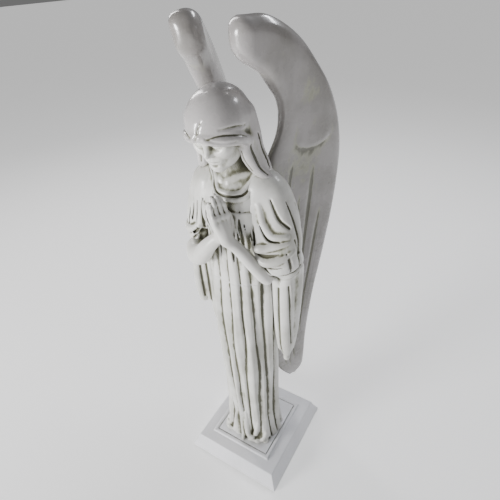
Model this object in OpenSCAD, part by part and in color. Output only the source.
// Resin angel figurine: a robed, winged figure with joined hands on a stepped plinth.
// Origin: centre of the underside. +Z up, the figure faces -Y, +X is the figure's own left.

/* [Figure] */
// Height of the figure from the foot plate to the crown of the head
figure_h = 672; // [540:1:740]
// Wall of the hollow resin castings
wall = 7; // [5:0.5:9]

/* [Plinth] */
// Width of the plinth across its foot
plinth_w = 192; // [180:1:220]
// Depth of the plinth across its foot
plinth_d = 202; // [190:1:230]
// Height of the plinth's flat top above its foot
plinth_h = 30; // [28:1:40]
// How far the sloping side leans in on each side
side_lean = 12.5; // [8:0.5:16]
// Width of the flat border around the bead
border_w = 20; // [14:0.5:24]
// Width of the raised bead
bead_w = 7.5; // [5:0.5:9]
// How far the bead stands above the border
bead_h = 3.5; // [2:0.5:5]

/* [Foot plate] */
// Thickness of the loose plate that the figure stands on
foot_plate_t = 8; // [6:0.5:10]
// Gap around the foot plate
plate_gap = 0.5; // [0.3:0.1:1]

/* [Underside] */
// Thickness of the felt sheet
felt_t = 2; // [1:0.5:3]
// Thickness of the closing board
board_t = 4; // [3:0.5:5]
// Radius of the vent hole in the board
vent_r = 10; // [6:0.5:12]

/* [Fixings] */
// Radius of the threaded rod that clamps the figure to the plinth
rod_r = 4; // [3:0.5:5]
// Radius of the steel pins in the wing roots
wing_pin_r = 2.5; // [2:0.5:3]
// Radius of the dowel in the neck
neck_dowel_r = 4; // [3:0.5:5]

/* [Hidden] */

resin = "gainsboro";
hair_resin = "lightgray";
wing_resin = "whitesmoke";

unit = figure_h / 100;                      // figure sizes are in hundredths of its height
foot_z = felt_t;                            // the plinth's foot stands on the felt
border_z = foot_z + plinth_h;
plate_z = border_z + bead_h;                // top of the foot plate, level with the bead
top_w = plinth_w - 2 * side_lean;
top_d = plinth_d - 2 * side_lean;
bead_out_w = top_w - 2 * border_w;
bead_out_d = top_d - 2 * border_w;
recess_w = bead_out_w - 2 * bead_w;
recess_d = bead_out_d - 2 * bead_w;
deck_z = plate_z - foot_plate_t;            // floor of the recess
corner_r = 3;
sliver = 0.01;
waist_z = 58;                               // where the robe and torso castings meet
seam = 0.2;                                 // glue line between castings
clear = 0.1;                                // radial clearance round a pin

// ---- helpers -------------------------------------------------------------------------------

module slab(w, d, z, t, r = corner_r)
    translate([0, 0, z])
        linear_extrude(t)
            offset(r)
                square([w - 2 * r, d - 2 * r], center = true);

// A block whose sides lean in from (w, d) at z0 to (w2, d2) at z1.
module leaning_block(w, d, z0, w2, d2, z1)
    hull() {
        slab(w, d, z0, sliver);
        slab(w2, d2, z1 - sliver, sliver);
    }

// Moves children to a point of the figure, given in hundredths of its height above the foot plate.
module at(p)
    translate([p.x * unit, p.y * unit, plate_z + p.z * unit]) children();

// An ellipsoid of clay with half-axes r at point p.
module lump(p, r, turn = [0, 0, 0], facets = 20)
    at(p) rotate(turn) scale(r * unit) sphere(1, $fn = facets);

// A run of balls [x, y, z, radius] joined into one smooth limb.
module limb(balls, facets = 16)
    for (i = [0 : len(balls) - 2])
        hull() {
            at(balls[i]) sphere(balls[i][3] * unit, $fn = facets);
            at(balls[i + 1]) sphere(balls[i + 1][3] * unit, $fn = facets);
        }

// Each ring is [z, half width, half depth, centre y, fold depth].
folds = 12;
ring_points = 72;
function ring_point(r, a, inset) =
    let (fold = 1 + r[4] * cos(folds * a))
    [(r[1] * unit - inset) * fold * cos(a),
     (r[2] * unit - inset) * fold * sin(a) + r[3] * unit,
     plate_z + r[0] * unit];
function ring(r, inset) =
    [for (k = [0 : ring_points - 1]) ring_point(r, k * 360 / ring_points, inset)];

// Closed skin through a list of rings. looped joins the last ring back to the first.
module skin(rings, looped = false) {
    n = ring_points;
    m = len(rings);
    bands = looped ? m : m - 1;
    sides = [for (j = [0 : bands - 1], k = [0 : n - 1])
        let (a = j * n, b = ((j + 1) % m) * n, l = (k + 1) % n)
        each [[a + k, b + k, b + l], [a + k, b + l, a + l]]];
    floor_cap = [for (k = [0 : n - 1]) k];
    top_cap = [for (k = [n - 1 : -1 : 0]) (m - 1) * n + k];
    polyhedron([for (r = rings) each r], looped ? sides : concat(sides, [floor_cap, top_cap]));
}

robe_rings = [
    [0,    8.7, 8.0, -0.8, 0.04],  [4,    8.2, 7.6, -0.8, 0.04],  [10,   7.6, 7.2, -0.6, 0.035],
    [20,   7.8, 7.4, -0.4, 0.035], [30,   8.3, 7.5, -0.3, 0.03],  [40,   8.4, 7.3, -0.3, 0.03],
    [50,   8.2, 6.9, -0.2, 0.025], [waist_z, 7.8, 6.2, 0, 0.02]];

// ---- forms: the outside of each casting, before its neighbours are taken out of it ---------

module robe_form() skin([for (r = robe_rings) ring(r, 0)]);

module torso_form() {
    hull() {
        lump([0, 0, waist_z + 0.6], [7.4, 5.8, 0.6]);
        lump([0, 0, 70], [7.7, 5.8, 5]);
    }
    hull() {
        lump([0, 0, 70], [7.7, 5.8, 5]);
        lump([0, 0.3, 77.5], [8.2, 5.2, 4.2]);
    }
    hull() {
        lump([0, 0.3, 77.5], [8.2, 5.2, 4.2]);
        lump([0, 0.2, 82], [4.2, 3.6, 3]);
    }
}

// The wide sleeve: mantle over shoulder and upper arm, its hem round the elbow, and the long
// falls of cloth below it. The left falls reach further down than the right ones.
module sleeve_form(s)
    for (run = s > 0 ? left_runs : right_runs) limb(run);
left_runs = [
    [[6.2, 0.6, 79.6, 3.4], [9.2, 0.6, 74, 4.0], [10.4, -0.2, 68, 4.2], [11.4, -0.6, 64.4, 3.2]],
    [[5.8, -0.8, 78, 2.8], [6.2, -1.6, 73.5, 3.1], [8.2, -2.6, 68, 2.6], [10, -2.4, 64.4, 2.3]],
    [[11.8, 0.0, 63, 2.8], [11.8, 0.0, 52, 2.4], [11.3, -0.2, 42, 2.1], [11.1, -0.8, 36, 1.3]],
    [[9.9, -1.6, 62, 1.5], [9.9, -1.5, 50, 1.4], [10.0, -1.3, 39.4, 1.1]]];
right_runs = [
    [[-6.2, 0.8, 79.6, 3.4], [-8.8, 0.8, 74, 3.8], [-10.2, 0.2, 68, 3.5], [-10.6, -0.6, 65, 2.6]],
    [[-5.8, -1.0, 78, 2.8], [-6.4, -1.8, 73, 2.7], [-8.4, -2.4, 68.5, 2.4]],
    [[-10.6, -1.0, 64, 2.5], [-11.3, -1.8, 56, 1.9], [-11.4, -2.1, 47.2, 1.5]],
    [[-9.6, -1.0, 62, 1.8], [-9.4, -1.0, 50, 1.7], [-9.2, -0.8, 40.8, 1.3]]];

// The joined hands stand on the wrist, lean a little, and turn together across the body.
wrist = [1.75, -8.05, 72.6];
module in_palms() at(wrist) rotate([0, 0, -30]) rotate([0, -6.9, 0]) children();
module palm_lump(p, r)
    in_palms() translate(p * unit) scale(r * unit) sphere(1, $fn = 20);

left_arm = [[8.6, -4.1, 61.4, 1.5], [6.6, -5.8, 65.2, 1.5], [4.6, -7.2, 69.0, 1.35], [2.55, -8.45, 72.6, 1.2]];
right_arm = [[-10.0, -3.4, 63.2, 2.2], [-5.4, -7.0, 65.0, 2.1], [-2.2, -7.9, 68.8, 1.6], [0.95, -7.65, 72.4, 1.2]];
module hand_form(s) {
    limb(s > 0 ? left_arm : right_arm);
    hull() {
        palm_lump([0.95 * s, 0, -0.4], [1.2, 1.4, 1.2]);
        palm_lump([0.8 * s, 0, 3.1], [0.85, 2.0, 1.3]);
    }
    hull() {
        palm_lump([0.8 * s, 0, 3.1], [0.85, 2.0, 1.3]);
        palm_lump([0.55 * s, 0.2, 7.1], [0.6, 1.5, 1.0]);
    }
}

head_at = [0.5, -3.9, 92];
head_turn = [24, 0, 2];
module head_form() {
    hull() {
        lump([0, -0.6, 83.4], [2.9, 2.9, 0.8]);
        lump([0, -2.8, 88.6], [2.9, 2.9, 1]);
    }
    lump([0.4, -4.1, 93.2], [4.8, 5.5, 5.3], head_turn, 28);
    hull() {
        lump([0.5, -5.2, 90.4], [3.8, 3.9, 3.2], head_turn);
        lump([0.5, -5.8, 86.4], [1.6, 1.6, 1.4]);
    }
    limb([[0.5, -8.4, 91.0, 0.5], [0.5, -8.5, 89.4, 0.6], [0.5, -8.4, 88.5, 0.7]], 12);
    for (s = [-1, 1]) {
        limb([[0.5 + 0.8 * s, -8.3, 91.2, 0.6], [0.5 + 2.8 * s, -7.3, 91.0, 0.6]], 12);
        limb([[0.5 + 0.2 * s, -7.1, 87.0, 0.5], [0.5 + 1.1 * s, -6.8, 87.1, 0.4]], 12);
        limb([[4.6 * s, -4.6, 90.6, 0.5], [4.5 * s, -3.9, 92.4, 0.8]], 12);
    }
}

module hair_form() {
    lump([0.5, -4.0, 93.6], [5.9, 6.5, 5.7], head_turn, 28);
    for (s = [-1, 1]) {
        limb([[5.0 * s, -3.4, 90.8, 1.6], [5.1 * s, -2.6, 87.4, 1.6], [6.0 * s, -1.5, 84.6, 1.5],
              [7.8 * s, 0.0, 82.4, 1.0]]);
        limb([[4.6 * s, -1.8, 93.4, 2.1], [5.2 * s, -1.0, 88.4, 2.0], [6.0 * s, 0.8, 84.4, 1.8],
              [6.8 * s, 2.2, 81.8, 1.1]]);
        limb([[2.2 * s, 0.4, 90.5, 3.0], [2.4 * s, 1.8, 85.5, 2.6], [2.8 * s, 3.6, 80.5, 2.2],
              [2.6 * s, 4.8, 76.0, 1.6]]);
    }
}

// Ribs run from the feather tips up to the curl above the head:
// [inner edge, outer edge, inner radius, outer radius], for the left wing.
wing_ribs = [
    [[6.1, 9.2, 14.6],   [8.0, 12.3, 15.0],   0.9, 0.9],
    [[4.8, 7.2, 20],     [8.4, 13.0, 19.6],   1.0, 1.1],
    [[3.9, 5.6, 31],     [8.8, 13.5, 30.6],   1.1, 1.2],
    [[3.5, 5.2, 44],     [9.8, 15.1, 44],     1.2, 1.3],
    [[3.5, 5.2, 56],     [11.1, 17.0, 56],    1.4, 1.5],
    [[3.7, 5.3, 69],     [12.1, 18.7, 68.5],  1.6, 1.7],
    [[4.8, 5.4, 80],     [12.9, 18.1, 80.4],  1.9, 2.0],
    [[7.4, 7.3, 87.5],   [12.8, 15.9, 88.2],  2.1, 2.1],
    [[8.2, 7.6, 91.8],   [11.9, 13.1, 94.4],  2.4, 2.4],
    [[7.8, 6.0, 96.6],   [9.9, 9.2, 100.4],   2.5, 2.5],
    [[6.6, 3.8, 100.0],  [7.7, 4.9, 104.4],   2.6, 2.6],
    [[4.5, -0.1, 103.4], [4.7, -0.3, 106.1],  2.7, 2.7]];

// The right wing is carried a little higher and wider than the left.
function wing_rise(z) = pow(max(0, min(1.1, (z - 80) / 26)), 1.2);
function wing_place(p, s) = s > 0 ? p
    : [-p.x - 2.2 * wing_rise(p.z), p.y - 0.2 * wing_rise(p.z), p.z + 0.9 * wing_rise(p.z)];

module wing_form(s)
    for (i = [0 : len(wing_ribs) - 2])
        hull()
            for (r = [wing_ribs[i], wing_ribs[i + 1]], e = [0, 1])
                at(wing_place(r[e], s)) sphere(r[2 + e] * unit, $fn = 14);

// Root block that fills in between the back and the wing, where the pins sit.
module wing_root(s)
    hull() {
        lump([2.6 * s, 4.6, 80], [1.6, 1.6, 3.2]);
        lump([2.6 * s, 4.4, 69], [1.6, 1.6, 3.2]);
        lump([3.6 * s, 6.6, 80], [1.6, 1.4, 3.0]);
        lump([3.4 * s, 6.4, 69], [1.4, 1.4, 3.0]);
    }

pin_heights = [70, 78];
module wing_pin(s, z, r)
    at([3.0 * s, 5.4, z]) rotate([-90, 0, -30 * s])
        cylinder(h = 3.6 * unit, r = r, center = true, $fn = 32);

module rod_hole(z0, z1, r = rod_r + clear)
    translate([0, 0, z0]) cylinder(h = z1 - z0, r = r, $fn = 48);

// ---- nodes ---------------------------------------------------------------------------------

module plinth()
    color(resin)
        difference() {
            union() {
                leaning_block(plinth_w, plinth_d, foot_z, top_w, top_d, border_z);
                leaning_block(bead_out_w, bead_out_d, border_z - sliver,
                              bead_out_w - 3, bead_out_d - 3, plate_z);
            }
            slab(recess_w, recess_d, deck_z, foot_plate_t + 1, 1);
            slab(plinth_w - 2 * wall - 4, plinth_d - 2 * wall - 4, foot_z - 1, board_t + 1);
            leaning_block(plinth_w - 2 * wall - 8, plinth_d - 2 * wall - 8, foot_z + board_t - sliver,
                          top_w - 2 * wall, top_d - 2 * wall, deck_z - wall);
            rod_hole(foot_z, plate_z);
        }

module base_board()
    color("burlywood")
        difference() {
            slab(plinth_w - 2 * wall - 5, plinth_d - 2 * wall - 5, foot_z, board_t);
            vent_hole(vent_r, foot_z - 1, board_t + 2);
        }

module felt_sheet()
    color("darkolivegreen")
        difference() {
            slab(plinth_w - 8, plinth_d - 8, 0, felt_t);
            vent_hole(vent_r + 4, -1, felt_t + 2);
        }

vent_y = 55;
module vent_hole(r, z, h)
    translate([0, vent_y, z]) cylinder(h = h, r = r, $fn = 64);

module vent_plug()
    color("dimgray") {
        vent_hole(vent_r + 2.5, foot_z - 1.5, 1.5);
        vent_hole(vent_r - clear, foot_z, board_t + 1);
    }

module foot_plate()
    color(resin)
        difference() {
            slab(recess_w - 2 * plate_gap, recess_d - 2 * plate_gap, deck_z, foot_plate_t, 1);
            rod_hole(deck_z - 1, plate_z + 1);
        }

// Poured plaster that fills the foot of the hollow robe and holds the rod.
core_top = 12;
module ballast_core()
    color("antiquewhite")
        difference() {
            translate([0, -0.8 * unit, plate_z])
                cylinder(h = core_top * unit, r = 5.4 * unit, $fn = 96);
            rod_hole(plate_z - 1, plate_z + core_top * unit - 12);
        }

rod_foot = foot_z + board_t + 3;
module center_rod()
    color("silver")
        translate([0, 0, rod_foot])
            cylinder(h = plate_z + core_top * unit - 12 - rod_foot, r = rod_r, $fn = 48);

washer_t = 2;
nut_t = 6.5;
module rod_washer()
    color("silver")
        translate([0, 0, deck_z - wall - washer_t])
            difference() {
                cylinder(h = washer_t, r = 3 * rod_r, $fn = 48);
                translate([0, 0, -1]) cylinder(h = washer_t + 2, r = rod_r + clear, $fn = 48);
            }

module rod_nut()
    color("silver")
        translate([0, 0, deck_z - wall - washer_t - nut_t])
            difference() {
                cylinder(h = nut_t, r = 1.88 * rod_r, $fn = 6);
                translate([0, 0, -1]) cylinder(h = nut_t + 2, r = rod_r + clear, $fn = 48);
            }

module robe()
    color(resin)
        skin(concat([for (r = robe_rings) ring(r, 0)],
                    [for (j = [len(robe_rings) - 1 : -1 : 0]) ring(robe_rings[j], wall)]),
             looped = true);

module torso()
    color(resin)
        difference() {
            torso_form();
            robe_form();
            at([0, 0, waist_z - 6 + seam]) cube([40 * unit, 40 * unit, 12 * unit], center = true);
            hull() {
                lump([0, 0, waist_z], [5.8, 4.4, 1]);
                lump([0, 0, 72], [5.8, 3.6, 4]);
            }
            at([0, -0.6, 79.5]) cylinder(h = 6 * unit, r = neck_dowel_r + clear, $fn = 48);
            for (s = [-1, 1], z = pin_heights) wing_pin(s, z, wing_pin_r + clear);
        }

module sleeve(s)
    color(resin)
        difference() {
            sleeve_form(s);
            torso_form();
            robe_form();
        }
module left_sleeve() sleeve(1);
module right_sleeve() sleeve(-1);

module hand(s)
    color(resin)
        difference() {
            hand_form(s);
            sleeve_form(s);
            torso_form();
            robe_form();
            in_palms() translate([(0.03 - 20) * s * unit, 0, 0]) cube(40 * unit, center = true);
        }
module left_hand() hand(1);
module right_hand() hand(-1);

module neck_dowel()
    color("burlywood")
        at([0, -0.6, 80]) cylinder(h = 8 * unit, r = neck_dowel_r, $fn = 48);

module head()
    color(resin)
        difference() {
            head_form();
            torso_form();
            at([0, -0.6, 79]) cylinder(h = 13 * unit, r = neck_dowel_r + clear, $fn = 48);
            lump([0, -3.2, 93.0], [3.2, 3.6, 3.4]);
        }

module hair()
    color(hair_resin)
        difference() {
            hair_form();
            head_form();
            torso_form();
            for (s = [-1, 1]) sleeve_form(s);
            at(head_at) rotate(head_turn) translate([0, -7.0, -3.4] * unit)
                cube([8.2, 11, 9.6] * unit, center = true);
        }

module wing(s)
    color(wing_resin)
        difference() {
            union() {
                wing_form(s);
                wing_root(s);
            }
            torso_form();
            robe_form();
            sleeve_form(s);
            hair_form();
            at([-20 * s + 0.05 * s, 0, 70]) cube([40 * unit, 60 * unit, 90 * unit], center = true);
            for (z = pin_heights) wing_pin(s, z, wing_pin_r + clear);
        }
module left_wing() wing(1);
module right_wing() wing(-1);

module wing_pins()
    color("silver")
        for (s = [-1, 1], z = pin_heights) wing_pin(s, z, wing_pin_r);

plinth();
base_board();
felt_sheet();
vent_plug();
foot_plate();
ballast_core();
center_rod();
rod_washer();
rod_nut();
robe();
torso();
left_sleeve();
right_sleeve();
left_hand();
right_hand();
neck_dowel();
head();
hair();
left_wing();
right_wing();
wing_pins();
